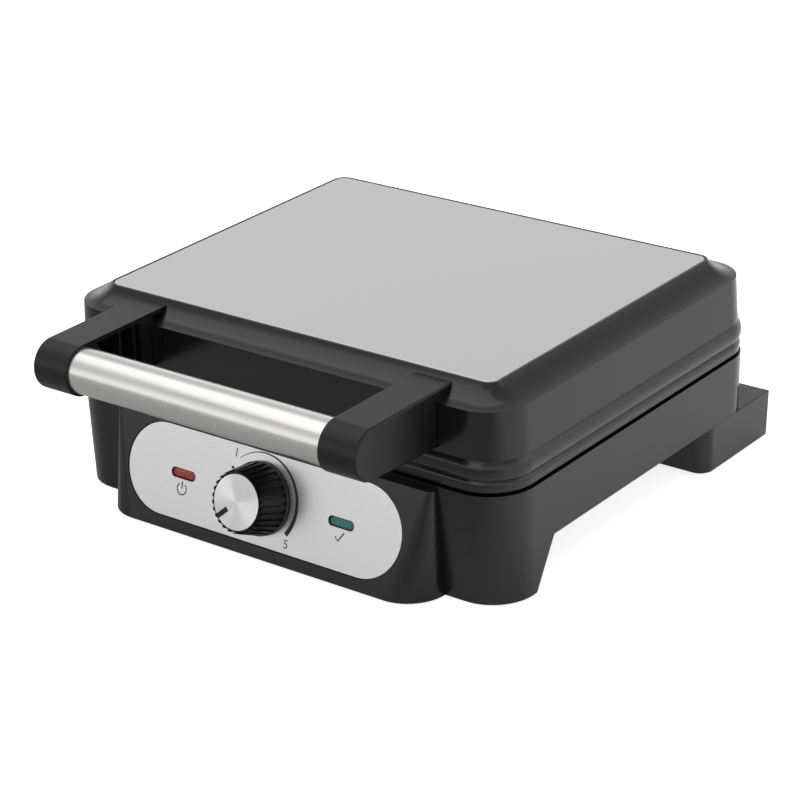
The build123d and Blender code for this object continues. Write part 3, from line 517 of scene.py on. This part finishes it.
def panel_matrix():
    """Turns a flat drawing, x to the right and y up, onto the face of the fascia."""
    right, up, out, centre = joint_frame()
    face = float(np.max(vertices("fascia_plate") @ np.array(out)) - centre.dot(out))
    basis = Matrix((right, up, out)).transposed().to_4x4()
    return Matrix.Translation(centre + out * face) @ basis


class WAFFLE_OT_stage(bpy.types.Operator):
    """Floor, world, lamps and camera"""

    bl_idname = "waffle.stage"
    bl_label = "Stage"

    def execute(self, context):
        settings = context.scene.waffle_stage
        self.floor(settings)
        self.world(context.scene, settings)
        self.lamp("Key", (-0.5, -0.2, 1.7), (0.0, 0.0, 0.05), 1.9, settings.key_power)
        self.lamp("Fill", (1.7, 0.9, 0.9), (0.0, 0.0, 0.05), 1.2, settings.fill_power)
        self.lamp("Front", (0.1, -1.9, 0.9), (0.0, 0.0, 0.05), 1.0, settings.front_power)
        self.camera(context.scene, settings)
        context.scene.view_settings.view_transform = "Standard"
        return {"FINISHED"}

    def floor(self, settings):
        half = settings.floor_size / 2
        mesh = bpy.data.meshes.new("floor")
        corners = [(-half, -half, 0), (half, -half, 0), (half, half, 0), (-half, half, 0)]
        mesh.from_pydata(corners, [], [(0, 1, 2, 3)])
        floor = linked("floor", mesh)
        graph = Graph("floor_paper", roughness=0.9, specular_ior_level=0.1)
        fibres = graph.noise(graph.place(), 40.0, 2.0)
        path = graph.node("ShaderNodeLightPath")
        # in a reflection the paper is dimmer in front of the object than beside and behind it
        spot = graph.split(graph.place())
        run = ((spot[0] * 0.5 + spot[1] * 0.8 + 0.1) / 0.16).call("MAXIMUM", 0.0).call("MINIMUM", 1.0)
        dim = (1.0 - run) * path[3] * (1.0 - settings.front_reflection)
        colour = tuple(settings.floor_colour)
        paper = graph.blend(fibres, shade(colour, 0.995), shade(colour, 1.0))
        level = 1.0 - dim
        dimmed = graph.node("ShaderNodeMix", MULTIPLY, {"Factor": 1.0, 6: paper, 7: level})[2]
        graph.feed("Base Color", dimmed)
        # seen directly or in a reflection it is also lit from within up to white, and keeps the shadow
        graph.shader.inputs["Emission Strength"].default_value = 1.0
        mirrored = path[3] * level * settings.mirrored_glow
        graph.feed("Emission Color", path[0] * settings.floor_glow + mirrored)
        mesh.materials.append(graph.material)

    def world(self, scene, settings):
        world = bpy.data.worlds.new("studio")
        world.use_nodes = True
        scene.world = world
        tree = world.node_tree
        graph = Sockets(tree)
        background = tree.nodes["Background"]
        background.inputs["Color"].default_value = (1, 1, 1, 1)
        path = graph.node("ShaderNodeLightPath")
        height = graph.node("ShaderNodeSeparateXYZ", None, {0: graph.node("ShaderNodeTexCoord")[0]})[2]
        # reflections see a bright horizon under a dimmer sky; straight on, the studio is white
        rise = ((height - 0.15) / 0.35).call("MAXIMUM", 0.0).call("MINIMUM", 1.0)
        horizon, sky = settings.horizon_reflection, settings.sky_reflection
        mirrored = horizon - rise * (horizon - sky)
        straight = path[0].call("MAXIMUM", path[6])
        glossy = path[3] * (1.0 - straight)
        level = straight + glossy * mirrored + (1.0 - straight) * (1.0 - path[3]) * settings.world_level
        tree.links.new(level.socket, background.inputs["Strength"])

    def lamp(self, name, place, target, size, power):
        data = bpy.data.lights.new(name, "AREA")
        data.shape = "SQUARE"
        data.size = size
        data.energy = power
        lamp = bpy.data.objects.new(name, data)
        bpy.context.scene.collection.objects.link(lamp)
        lamp.location = place
        lamp.rotation_euler = (Vector(target) - Vector(place)).to_track_quat("-Z", "Y").to_euler()

    def camera(self, scene, settings):
        a, e, r = settings.camera_azimuth, settings.camera_elevation, settings.camera_roll
        ahead = Vector((-sin(a) * cos(e), cos(a) * cos(e), -sin(e)))
        level = Vector((cos(a), sin(a), 0.0))
        below = ahead.cross(level)
        right = level * cos(r) + below * sin(r)
        up = -(below * cos(r) - level * sin(r))
        data = bpy.data.cameras.new("photo")
        data.lens = settings.camera_lens
        data.sensor_width = 36.0
        camera = bpy.data.objects.new("photo", data)
        scene.collection.objects.link(camera)
        place = Vector(settings.camera_target) - ahead * settings.camera_distance
        camera.matrix_world = Matrix.Translation(place) @ Matrix((right, up, -ahead)).transposed().to_4x4()
        scene.camera = camera


class WAFFLE_OT_housings(bpy.types.Operator):
    """Moulded lid, base and feet"""

    bl_idname = "waffle.housings"
    bl_label = "Housings"

    def execute(self, context):
        colours = context.scene.waffle_finish
        gloss = moulded("gloss_black_plastic", tuple(colours.gloss_black), 0.2, 0.000004)
        pieces = {node: dress(node, gloss, edge) for node, edge in HOUSINGS.items()}
        self.lower_rim(pieces["lid_frame"].data, 0.0014)
        for node in ("rear_foot_left", "rear_foot_right"):
            lid = linked(node + "_lid", self.foot_lid(node))
            settle(lid, "base", gloss)
        return {"FINISHED"}

    def lower_rim(self, mesh, drop):
        """Carries the frame's lowest rim down towards the base: z - drop where z is the least."""
        points = np.empty(len(mesh.vertices) * 3)
        mesh.vertices.foreach_get("co", points)
        points = points.reshape(-1, 3)
        points[points[:, 2] < points[:, 2].min() + 0.0002, 2] -= drop
        mesh.vertices.foreach_set("co", points.ravel())
        mesh.update()

    def foot_lid(self, node, thickness=0.0008, proud=0.00005, inset=0.03):
        """A plate over a foot's top: the outline of the top, drawn in towards its middle by a share of
        the distance, at two heights."""
        points = vertices(node)
        top = points[points[:, 1] > points[:, 1].max() - 0.0005, 2].max()
        rim = points[abs(points[:, 2] - top) < 0.0002, :2]
        outline = rim[convex_hull_2d([Vector(point) for point in rim])]
        middle = (outline.max(axis=0) + outline.min(axis=0)) / 2
        outline = middle + (outline - middle) * (1.0 - inset)
        heights = (top + proud - thickness, top + proud)
        rings = [np.c_[outline, np.full(len(outline), height)] for height in heights]
        return surface(node + "_lid", np.stack(rings))


class WAFFLE_OT_handle(bpy.types.Operator):
    """Handle arms, tube, caps and the skins over the caps"""

    bl_idname = "waffle.handle"
    bl_label = "Handle"

    def execute(self, context):
        colours = context.scene.waffle_finish
        satin = moulded("satin_black_plastic", tuple(colours.satin_black), 0.36, 0.00001, gloss=0.3)
        for node in ("handle_arm_left", "handle_arm_right"):
            dress(node, satin, 0.0004)
        dress("handle_caps", satin, 0.0003)
        for side, arm in ((-1.0, "handle_arm_left"), (1.0, "handle_arm_right")):
            settle(linked(arm + "_cover", self.cover(arm, side)), "lid", satin)
        dress("handle_tube", brushed("brushed_tube", tuple(colours.tube_steel), 0.26, 0), 0.0)
        return {"FINISHED"}

    def cover(self, arm, side):
        """A thin round skin over the cap in an arm's outer face: its height falls from the middle to the
        rim with the eighth power of the radius."""
        caps = vertices("handle_caps")
        cap = caps[caps[:, 0] * side > 0]
        middle = (cap.max(axis=0) + cap.min(axis=0)) / 2
        radius = (cap[:, 2].max() - cap[:, 2].min()) / 2 + 0.0009
        face = (vertices(arm)[:, 0] * side).max()
        angle = np.linspace(0, 2 * pi, 65)[:-1]
        share = np.array([1.0, 0.98, 0.94, 0.85, 0.6])[:, None]
        across = np.broadcast_to(side * (face + 0.00002 * (1.0 - share**8)), (len(share), len(angle)))
        along, up = radius * share * np.cos(angle), radius * share * np.sin(angle)
        rows = np.stack([across, middle[1] + along, middle[2] + up], axis=-1)
        back = rows[:1] - np.array([side * 0.0002, 0.0, 0.0])
        return surface(arm + "_cover", np.concatenate([back, rows]))


class WAFFLE_OT_sheets(bpy.types.Operator):
    """Steel sheet in the lid and the fascia of the panel"""

    bl_idname = "waffle.sheets"
    bl_label = "Steel sheets"

    def execute(self, context):
        colours = context.scene.waffle_finish
        sheet = brushed("satin_sheet", tuple(colours.sheet_steel), 0.38, 0, grain=0.000003, streak=0.02)
        fascia = brushed("fascia_sheet", tuple(colours.fascia_steel), 0.34, 0, grain=0.000006, streak=0.05)
        dress("lid_top_plate", sheet, 0.0003, segments=3)
        dress("fascia_plate", fascia, 0.0001)
        return {"FINISHED"}


class WAFFLE_OT_knob(bpy.types.Operator):
    """Ribbed knob and its turned disc"""

    bl_idname = "waffle.knob"
    bl_label = "Knob"

    def execute(self, context):
        colours = context.scene.waffle_finish
        plastic = moulded("knob_plastic", tuple(colours.satin_black), 0.3, 0.000006, gloss=0.3)
        dress("knob_body", plastic, 0.00015)
        disc = dress("knob_cap", spun_metal("spun_disc", (0.95, 0.95, 0.96)), 0.0001)
        self.draw_in(disc.data, 0.95)
        return {"FINISHED"}


    def draw_in(self, mesh, share):
        """Shrinks the disc towards the knob's axis, so that the ribbed body shows round it as a rim."""
        _, _, axis, centre = joint_frame()
        along = Matrix([[axis[i] * axis[j] for j in range(3)] for i in range(3)])
        squeeze = (Matrix.Identity(3) * share + along * (1.0 - share)).to_4x4()
        mesh.transform(Matrix.Translation(centre) @ squeeze @ Matrix.Translation(-centre))


class WAFFLE_OT_lenses(bpy.types.Operator):
    """Indicator lenses"""

    bl_idname = "waffle.lenses"
    bl_label = "Indicator lenses"

    def execute(self, context):
        colours = context.scene.waffle_finish
        dress("power_lens", indicator("red_lens", tuple(colours.red_lens)), 0.0)
        dress("ready_lens", indicator("green_lens", tuple(colours.green_lens)), 0.0)
        return {"FINISHED"}


class WAFFLE_OT_plates(bpy.types.Operator):
    """Coated cooking plates"""

    bl_idname = "waffle.plates"
    bl_label = "Cooking plates"

    def execute(self, context):
        coating = coated_cast("non_stick_coating", tuple(context.scene.waffle_finish.cast_plate))
        for node in ("lower_cooking_plate", "upper_cooking_plate"):
            dress(node, coating, 0.0004)
        return {"FINISHED"}


class WAFFLE_OT_workings(bpy.types.Operator):
    """Elements, reflectors, screws and the small parts inside"""

    bl_idname = "waffle.workings"
    bl_label = "Workings"

    def execute(self, context):
        finishes = {
            "element_steel": plated("oxidised_sheath", (0.16, 0.14, 0.13), 0.45),
            "reflector_steel": plated("coated_sheet", (0.62, 0.62, 0.61), 0.3),
            "zinc_steel": plated("zinc_plating", (0.55, 0.55, 0.53), 0.32),
            "lamp_glass": moulded("lamp_glass", (0.5, 0.42, 0.35), 0.12, 0.000002),
            "phenolic": moulded("phenolic", (0.03, 0.017, 0.011), 0.45, 0.00002),
            "rubber": moulded("rubber", (0.014, 0.014, 0.014), 0.7, 0.00003),
            "white_plastic": moulded("nylon", (0.58, 0.57, 0.52), 0.4, 0.00001),
            "satin_black": moulded("cover_plastic", (0.014, 0.014, 0.015), 0.42, 0.00002),
        }
        for node, slot in NODE_SLOT.items():
            if node + "_finish" not in bpy.data.objects:
                assign([node], finishes[slot])
        return {"FINISHED"}


class WAFFLE_OT_marks(bpy.types.Operator):
    """Printed scale, numerals and lamp symbols on the panel"""

    bl_idname = "waffle.marks"
    bl_label = "Panel marks"

    def execute(self, context):
        settings = context.scene.waffle_marks
        ink = printed("panel_ink", (0.012, 0.012, 0.013))
        turn = panel_matrix()
        drawings = {
            "heat_scale": self.scale(settings),
            "off_mark": self.disc(settings, (-0.0184, 0.0104), settings.dot_radius),
            "power_ring": self.ring(settings, (-LAMP_PLACE, -0.0072), settings.symbol_size / 2),
            "power_bar": self.path(settings, [(-LAMP_PLACE, -0.0070), (-LAMP_PLACE, -0.0036)]),
            "ready_tick": self.path(settings, [(0.0452, -0.0066), (0.0468, -0.0086), (0.0500, -0.0040)]),
        }
        for name, mesh in drawings.items():
            mesh.transform(turn)
            settle(linked(name, mesh), "base", ink)
        numerals = (("low_numeral", "1", (-0.0172, 0.0176)), ("high_numeral", "5", (0.0178, -0.0178)))
        for name, digit, place in numerals:
            piece = self.numeral(settings, name, digit, place)
            piece.data.transform(turn)
            settle(piece, "base", ink)
        return {"FINISHED"}

    def band(self, name, centre, normal, width, height):
        """A flat band: each point of a centre line, moved by half the width along its normal, both ways,
        with a lower and an upper side."""
        offset = normal * (width / 2)[:, None]
        inner, outer = centre - offset, centre + offset
        low = np.full(len(centre), -height / 2)
        high = np.full(len(centre), height)
        ring = np.stack(
            [np.c_[inner, low], np.c_[outer, low], np.c_[outer, high], np.c_[inner, high]],
            axis=1,
        )
        return surface(name, ring)

    def scale(self, settings):
        """An arc whose width grows with the angle gone round, to the power 1.3."""
        share = np.linspace(0.0, 1.0, 97)
        angle = settings.arc_start + share * (settings.arc_end - settings.arc_start)
        normal = np.c_[np.cos(angle), np.sin(angle)]
        width = settings.arc_thin + (settings.arc_thick - settings.arc_thin) * share**1.3
        return self.band("heat_scale", normal * settings.arc_radius, normal, width, settings.ink_height)

    def ring(self, settings, place, radius):
        """A ring of even width about a point, open at its top."""
        angle = np.linspace(radians(125), radians(415), 65)
        normal = np.c_[np.cos(angle), np.sin(angle)]
        width = np.full(len(angle), 0.00055)
        return self.band("ring", np.array(place) + normal * radius, normal, width, settings.ink_height)

    def disc(self, settings, place, radius):
        """A small round dot: its rim at two heights."""
        angle = np.linspace(0, 2 * pi, 33)[:-1]
        rim = np.c_[np.cos(angle), np.sin(angle)] * radius + np.array(place)
        low = np.c_[rim, np.full(len(rim), -settings.ink_height / 2)]
        high = np.c_[rim, np.full(len(rim), settings.ink_height)]
        return surface("dot", np.stack([low, high], axis=0))

    def path(self, settings, corners):
        """A line of even width through its corners, square to each stretch's direction."""
        points = np.array(corners, float)
        run = np.gradient(points, axis=0)
        run /= np.linalg.norm(run, axis=1)[:, None]
        normal = np.c_[-run[:, 1], run[:, 0]]
        return self.band("line", points, normal, np.full(len(points), 0.0007), settings.ink_height)

    def numeral(self, settings, name, digit, place):
        """A plain numeral as a mesh, centred on its place."""
        curve = bpy.data.curves.new(name, "FONT")
        curve.body = digit
        curve.size = settings.numeral_size
        curve.align_x = "CENTER"
        curve.align_y = "CENTER"
        curve.extrude = settings.ink_height
        text = bpy.data.objects.new(name + "_text", curve)
        bpy.context.scene.collection.objects.link(text)
        bpy.context.view_layer.update()
        shaped = text.evaluated_get(bpy.context.evaluated_depsgraph_get())
        mesh = bpy.data.meshes.new_from_object(shaped)
        bpy.data.objects.remove(text)
        mesh.transform(Matrix.Translation((*place, 0.0)))
        mesh.name = name
        return linked(name, mesh)


class WAFFLE_PT_panel(bpy.types.Panel):
    """Lists the steps in the sidebar"""

    bl_label = "Waffle maker"
    bl_idname = "WAFFLE_PT_panel"
    bl_space_type = "VIEW_3D"
    bl_region_type = "UI"
    bl_category = "Waffle maker"

    def draw(self, context):
        for step in STEPS:
            self.layout.operator(step.bl_idname)
        for group in (context.scene.waffle_stage, context.scene.waffle_finish, context.scene.waffle_marks):
            for name in group.bl_rna.properties.keys():
                if name not in ("name", "rna_type"):
                    self.layout.prop(group, name)


SETTINGS = {"waffle_stage": StageSettings, "waffle_finish": FinishSettings, "waffle_marks": MarkSettings}
STEPS = (
    WAFFLE_OT_stage,
    WAFFLE_OT_housings,
    WAFFLE_OT_handle,
    WAFFLE_OT_sheets,
    WAFFLE_OT_knob,
    WAFFLE_OT_lenses,
    WAFFLE_OT_plates,
    WAFFLE_OT_workings,
    WAFFLE_OT_marks,
)


def register():
    for cls in (*SETTINGS.values(), *STEPS, WAFFLE_PT_panel):
        bpy.utils.register_class(cls)
    for name, cls in SETTINGS.items():
        setattr(bpy.types.Scene, name, bpy.props.PointerProperty(type=cls))


def unregister():
    for name in SETTINGS:
        delattr(bpy.types.Scene, name)
    for cls in (WAFFLE_PT_panel, *reversed(STEPS), *reversed(list(SETTINGS.values()))):
        bpy.utils.unregister_class(cls)


def main():
    """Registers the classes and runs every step."""
    register()
    for step in STEPS:
        group, name = step.bl_idname.split(".")
        getattr(getattr(bpy.ops, group), name)()


if __name__ == "__main__":
    main()
